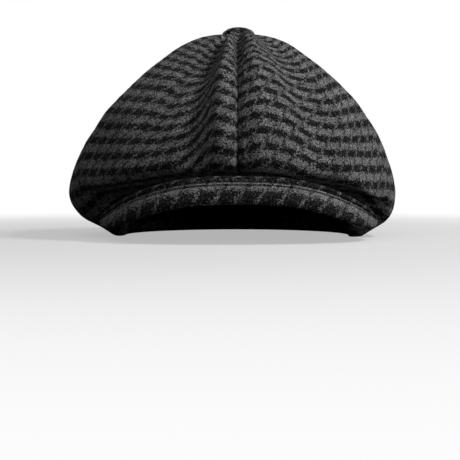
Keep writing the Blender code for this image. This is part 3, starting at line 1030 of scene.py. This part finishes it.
def peak_section(angle):
    """Corners round the peak's board at one angle, from its root on the band."""
    sine = math.sin(angle)
    cosine = math.cos(angle)
    root_angle = angle * ROOT_ANGLE / 90.0
    root_x = (BAND_OUT_X + SEAM_GAP) * math.sin(root_angle)
    root_y = -(BAND_OUT_Y + SEAM_GAP) * math.cos(root_angle)
    depth = BAND_OUT_Y + PEAK_REACH - PEAK_TIP_BACK
    bend_x = PEAK_HALF_WIDTH * math.copysign(abs(sine) ** (2.0 / PEAK_PLAN_POWER), sine)
    bend_y = -PEAK_TIP_BACK - depth * cosine ** (2.0 / PEAK_PLAN_POWER)
    outward = Vector((bend_x - root_x, bend_y - root_y, 0.0)).normalized()
    past = max(abs(math.degrees(angle)) - PEAK_ROUND_ANGLE, 0.0)
    past /= PEAK_LAST_ANGLE - PEAK_ROUND_ANGLE
    trim = PEAK_ROUND_TRIM * (1.0 - math.sqrt(max(1.0 - past * past, 0.0)))
    bend_x -= outward.x * trim
    bend_y -= outward.y * trim
    fullness = math.sqrt(1.0 - abs(bend_x / PEAK_HALF_WIDTH) ** PEAK_TIP_POWER)
    fullness = max(fullness, PEAK_TIP_FULLNESS)
    drop = PEAK_FACE_HEIGHT * fullness
    lean = PEAK_FACE_LEAN * fullness
    inner = max(drop - PEAK_INNER_LIP * PEAK_WALL, PEAK_WALL)
    root_top = peak_top(root_x)
    points = [Vector((root_x, root_y, root_top - PEAK_WALL)), Vector((root_x, root_y, root_top))]
    for corner in PEAK_CORNERS:
        out = corner.out * PEAK_WALL
        x = bend_x + outward.x * out
        y = bend_y + outward.y * out - lean * corner.lean
        down = corner.drop * drop + corner.inner * inner + corner.wall * PEAK_WALL
        points.append(Vector((x, y, peak_top(bend_x) + corner.bead * PEAK_BEAD - down)))
    return points


def peak_angle(share):
    """Angle at a share from -1 at the left tip to 1 at the right, with finer steps at the tips."""
    return math.radians(PEAK_LAST_ANGLE) * math.sin(0.5 * math.pi * share)


def corner_index(name):
    """Where a named corner stands among the points of peak_section."""
    return ROOT_CORNERS + [corner.name for corner in PEAK_CORNERS].index(name)


class FLATCAP_OT_peak(bpy.types.Operator):
    """Cover the peak's bent board"""

    bl_idname = "flatcap.peak"
    bl_label = "Peak"

    def execute(self, context):
        peak = context.scene.cap_peak
        corners = ROOT_CORNERS + len(PEAK_CORNERS)
        points = peak.section_points
        bm, net = new_grid(points, peak.steps)
        for step, verts in enumerate(net):
            section = peak_section(peak_angle(2.0 * step / peak.steps - 1.0))
            section.append(section[0])
            for index, vert in enumerate(verts):
                vert.co = through(section, corners * index / points)
        bm.verts.index_update()
        bead = round(points * corner_index("bead_crest") / corners)
        lay_cloth(bm, self.chart(net, bead, context.scene.cap_cloth))
        bmesh.ops.remove_doubles(bm, verts=bm.verts, dist=MERGE_DISTANCE)
        ends = [edge for edge in bm.edges if edge.is_boundary]
        bmesh.ops.holes_fill(bm, edges=ends, sides=points + 2)
        bmesh.ops.recalc_face_normals(bm, faces=bm.faces)
        bm.normal_update()
        for vert in bm.verts:
            vert.co += vert.normal * context.scene.cap_crown.nap * nap_at(vert.co)
        piece = new_piece("peak_cloth", bm, "houndstooth_tweed", "peak")
        return {"FINISHED"}

    def chart(self, net, bead, cloth):
        """Places on the cloth: across from the peak's middle, and down from the bead."""
        middle = len(net) // 2
        across = running_length([verts[bead].co for verts in net])
        places = {}
        for step, verts in enumerate(net):
            down = running_length([vert.co for vert in verts])
            drift = PEAK_ROW_DRIFT * smoothstep(0.0, PEAK_DRIFT_END, abs(verts[bead].co.x))
            for vert, run in zip(verts, down):
                below = run - down[bead] - PEAK_FIRST_ROW - drift
                stretch = PEAK_RIM_STRETCH if below > 0.0 else 1.0
                places[vert.index] = (
                    (across[step] - across[middle]) / cloth.peak_column_width,
                    below / (cloth.peak_row_height * stretch),
                )
        return places


class FLATCAP_OT_stitches(bpy.types.Operator):
    """Sew two rows of stitches along the peak's bead"""

    bl_idname = "flatcap.stitches"
    bl_label = "Stitches"

    def execute(self, context):
        bm = bmesh.new()
        for name in ("first_stitching", "second_stitching"):
            self.sew_row(bm, corner_index(name), context.scene.cap_peak)
        piece = new_piece("peak_stitches", bm, "sewing_thread")
        return {"FINISHED"}

    def sew_row(self, bm, corner, peak):
        """One stitch after another along a groove of the peak."""
        line = []
        for step in range(STITCH_LINE_STEPS + 1):
            share = STITCHED_SHARE * (2.0 * step / STITCH_LINE_STEPS - 1.0)
            line.append(peak_section(peak_angle(share))[corner])
        run = 0.0
        start = line[0]
        for before, after in zip(line, line[1:]):
            run += (after - before).length
            if run >= peak.stitch_length + peak.stitch_gap:
                self.add_stitch(bm, start, after, peak)
                run = 0.0
                start = after

    def add_stitch(self, bm, first, last, peak):
        """One stitch: a thin bead of thread on the groove, midway between two of its points."""
        turn = (last - first).normalized().to_track_quat("X", "Z").to_matrix().to_4x4()
        middle = (first + last) / 2.0
        shape = bmesh.ops.create_icosphere(bm, subdivisions=1, radius=1.0)["verts"]
        size = Vector((peak.stitch_length / 2.0, peak.thread_radius, peak.thread_radius))
        bmesh.ops.scale(bm, vec=size, verts=shape)
        bmesh.ops.transform(bm, matrix=turn, verts=shape)
        bmesh.ops.translate(bm, verts=shape, vec=middle + Vector((0.0, 0.0, peak.thread_radius)))


class FLATCAP_OT_button(bpy.types.Operator):
    """Turn the covered button on the crown's point"""

    bl_idname = "flatcap.button"
    bl_label = "Button"

    def execute(self, context):
        height = BUTTON_HIGH.z - BUTTON_LOW.z
        bm = bmesh.new()
        verts = [
            bm.verts.new((BUTTON_RADIUS * out, 0.0, BUTTON_LOW.z + height * up))
            for out, up in BUTTON_PROFILE
        ]
        edges = [bm.edges.new(pair) for pair in zip(verts, verts[1:])]
        bmesh.ops.spin(
            bm, geom=verts + edges, cent=(0.0, 0.0, 0.0), axis=(0.0, 0.0, 1.0),
            angle=2.0 * math.pi, steps=BUTTON_SPOKES, use_merge=True)
        bmesh.ops.remove_doubles(bm, verts=bm.verts, dist=MERGE_DISTANCE)
        bmesh.ops.subdivide_edges(bm, edges=bm.edges, cuts=1, use_grid_fill=True)
        bmesh.ops.recalc_face_normals(bm, faces=bm.faces)
        bm.normal_update()
        for vert in bm.verts:
            vert.co += vert.normal * self.relief_at(vert.co, context.scene.cap_crown.nap)
        bm.verts.index_update()
        cloth = context.scene.cap_cloth
        places = {}
        for vert in bm.verts:
            across = vert.co.x / cloth.column_width + BUTTON_CHECK_ACROSS
            places[vert.index] = (across, BUTTON_CHECK_DOWN - vert.co.y / cloth.row_height)
        lay_cloth(bm, places)
        piece = new_piece("button_cloth", bm, "houndstooth_tweed", "crown_button")
        return {"FINISHED"}

    def relief_at(self, place, nap):
        """Height of the gathers round the button's rim and of its nap, none on its underside."""
        out = smoothstep(BUTTON_GATHER_START, 1.0, place.xy.length / BUTTON_RADIUS)
        gathers = out * math.sin(BUTTON_GATHERS * math.atan2(place.y, place.x))
        over = smoothstep(BUTTON_LOW.z, BUTTON_LOW.z + BUTTON_CALM, place.z)
        return over * (BUTTON_GATHER_HEIGHT * gathers + nap * nap_at(place))


class FLATCAP_OT_headband(bpy.types.Operator):
    """Sew the plain band round the head opening"""

    bl_idname = "flatcap.headband"
    bl_label = "Headband"

    def execute(self, context):
        turns = [2.0 * math.pi * side / BAND_SIDES for side in range(BAND_SIDES + 1)]
        ring = [Vector((BAND_OUT_X * math.sin(turn), -BAND_OUT_Y * math.cos(turn))) for turn in turns]
        runs = running_length(ring)
        bm, net = new_grid(BAND_SIDES, BAND_LAYERS)
        bm.verts.index_update()
        places = {}
        for layer, verts in enumerate(net):
            share = layer / BAND_LAYERS
            tuck = BAND_TUCK * (2.0 * share - 1.0) ** BAND_TUCK_POWER
            for vert, turn, point, run in zip(verts, turns, ring, runs):
                ripple = BAND_RIPPLE * math.sin(BAND_RIPPLES * turn) * (1.0 - share)
                scale = 1.0 - (tuck - ripple) / BAND_OUT_X
                vert.co = (point * scale).to_3d()
                vert.co.z = band_edge(point.y) + BAND_HEIGHT * share
                places[vert.index] = (run / BAND_WEAVE, BAND_HEIGHT * share / BAND_WEAVE)
        lay_cloth(bm, places)
        bmesh.ops.remove_doubles(bm, verts=bm.verts, dist=MERGE_DISTANCE)
        bmesh.ops.recalc_face_normals(bm, faces=bm.faces)
        face = next(iter(bm.faces))
        if face.normal.dot(face.calc_center_median()) < 0.0:
            bmesh.ops.reverse_faces(bm, faces=bm.faces)
        piece = new_piece("headband_cloth", bm, "black_band_cloth", "headband")
        add_wall(piece, BAND_WALL)
        return {"FINISHED"}


class FLATCAP_OT_stage(bpy.types.Operator):
    """Set the floor, the soft lights and the camera"""

    bl_idname = "flatcap.stage"
    bl_label = "Stage"

    def execute(self, context):
        stage = context.scene.cap_stage
        self.add_floor(stage)
        self.add_world(context.scene, stage)
        self.add_lights(stage)
        self.add_camera(context.scene, stage)
        context.scene.view_settings.view_transform = "Standard"
        return {"FINISHED"}

    def add_floor(self, stage):
        """A floor that curves up into a backdrop behind the cap."""
        flat = FLOOR_BEND - FLOOR_FRONT
        quarter = math.pi / 2.0
        bm = bmesh.new()
        bmesh.ops.create_grid(bm, x_segments=1, y_segments=FLOOR_STEPS, size=0.5)
        for vert in bm.verts:
            run = (vert.co.y + 0.5) * FLOOR_RUN
            turn = min(max((run - flat) / FLOOR_CURVE, 0.0), quarter)
            y = FLOOR_FRONT + min(run, flat) + FLOOR_CURVE * math.sin(turn)
            rise = max(run - flat - FLOOR_CURVE * quarter, 0.0)
            z = FLOOR_CURVE * (1.0 - math.cos(turn)) + rise
            vert.co = Vector((vert.co.x * FLOOR_WIDTH, y, z))
        mesh = bpy.data.meshes.new("floor")
        bm.to_mesh(mesh)
        bm.free()
        mesh.shade_smooth()
        mesh.materials.append(self.floor_paint(stage))
        floor = bpy.data.objects.new("floor", mesh)
        bpy.context.scene.collection.objects.link(floor)

    def floor_paint(self, stage):
        """Pale paint that glows away from the cap, and throws only a little light back at it."""
        material, bench, shader, place = new_material("floor_paint")
        bench.fill(shader, {"Base Color": (*stage.floor_colour, 1.0), "Roughness": 0.8})
        glow = bench.add("ShaderNodeEmission")
        away = bench.add("ShaderNodeVectorMath", operation="LENGTH")
        bench.feed(away.inputs[0], bench.vector("MULTIPLY", place, (1.0, 1.0, 0.0)))
        far = bench.step(away.outputs["Value"], GLOW_START, GLOW_FULL, GLOW_LEAST, 1.0)
        pale = bench.join("ShaderNodeMixShader", far, shader.outputs[0], glow.outputs[0])
        dim = bench.add("ShaderNodeBsdfDiffuse")
        dim.inputs["Color"].default_value = (FLOOR_BOUNCE, FLOOR_BOUNCE, FLOOR_BOUNCE, 1.0)
        seen = bench.add("ShaderNodeLightPath").outputs["Is Camera Ray"]
        paint = bench.join("ShaderNodeMixShader", seen, dim.outputs[0], pale)
        bench.feed(material.node_tree.nodes["Material Output"].inputs["Surface"], paint)
        return material

    def add_world(self, scene, stage):
        """White all round: full to the camera, and dim as a light."""
        world = bpy.data.worlds.new("studio")
        scene.world = world
        world.use_nodes = True
        bench = NodeBench(world.node_tree)
        seen = bench.add("ShaderNodeLightPath").outputs["Is Camera Ray"]
        bench.fill(world.node_tree.nodes["Background"], {
            "Color": (1.0, 1.0, 1.0, 1.0), "Strength": bench.mix(seen, stage.ambient, 1.0)})

    def add_lights(self, stage):
        """The soft lights, each turned to the crown."""
        aim = AXIS + Vector((0.0, 0.0, LIGHT_AIM_HEIGHT))
        for lamp in LAMPS:
            light = bpy.data.lights.new(lamp.name, "AREA")
            light.shape = "DISK"
            light.size = lamp.size
            light.energy = stage.light_power * lamp.share * lamp.distance ** 2
            across = math.radians(lamp.azimuth)
            up = math.radians(lamp.elevation)
            away = Vector((
                math.sin(across) * math.cos(up), -math.cos(across) * math.cos(up), math.sin(up)))
            holder = bpy.data.objects.new(lamp.name, light)
            holder.location = aim + away * lamp.distance
            holder.rotation_euler = (-away).to_track_quat("-Z", "Y").to_euler()
            bpy.context.scene.collection.objects.link(holder)

    def add_camera(self, scene, stage):
        """A camera that looks at the cap's front from just over the floor."""
        view = bpy.data.cameras.new("camera")
        view.lens = view.sensor_width * stage.camera_distance / (stage.pixel * FRAME_PIXELS)
        view.clip_start = NEAREST_SEEN
        camera = bpy.data.objects.new("camera", view)
        place = AXIS + Vector((0.0, -stage.camera_distance, stage.camera_height))
        aim = AXIS + Vector((AIM_SIDEWAYS, 0.0, AIM_HEIGHT))
        camera.location = place
        camera.rotation_euler = (aim - place).to_track_quat("-Z", "Y").to_euler()
        scene.collection.objects.link(camera)
        scene.camera = camera


class FLATCAP_PT_tools(bpy.types.Panel):
    """Buttons for the cap's pieces and the stage, and their settings"""

    bl_idname = "FLATCAP_PT_tools"
    bl_label = "Flat Cap"
    bl_space_type = "VIEW_3D"
    bl_region_type = "UI"
    bl_category = "Flat Cap"

    def draw(self, context):
        for operator in OPERATORS:
            self.layout.operator(operator.bl_idname)
        for name in SETTINGS:
            settings = getattr(context.scene, name)
            for field in settings.bl_rna.properties.keys():
                if field not in ("rna_type", "name"):
                    self.layout.prop(settings, field)


SETTINGS = {
    "cap_cloth": CapClothSettings,
    "cap_crown": CapCrownSettings,
    "cap_peak": CapPeakSettings,
    "cap_stage": CapStageSettings,
}
OPERATORS = (
    FLATCAP_OT_headband,
    FLATCAP_OT_crown,
    FLATCAP_OT_peak,
    FLATCAP_OT_stitches,
    FLATCAP_OT_button,
    FLATCAP_OT_stage,
)


def register():
    for name, settings in SETTINGS.items():
        bpy.utils.register_class(settings)
        setattr(bpy.types.Scene, name, PointerProperty(type=settings))
    for operator in OPERATORS:
        bpy.utils.register_class(operator)
    bpy.utils.register_class(FLATCAP_PT_tools)


def unregister():
    bpy.utils.unregister_class(FLATCAP_PT_tools)
    for operator in reversed(OPERATORS):
        bpy.utils.unregister_class(operator)
    for name, settings in SETTINGS.items():
        delattr(bpy.types.Scene, name)
        bpy.utils.unregister_class(settings)


def main():
    register()
    bpy.ops.flatcap.headband()
    bpy.ops.flatcap.crown()
    bpy.ops.flatcap.peak()
    bpy.ops.flatcap.stitches()
    bpy.ops.flatcap.button()
    bpy.ops.flatcap.stage()


if __name__ == "__main__":
    main()
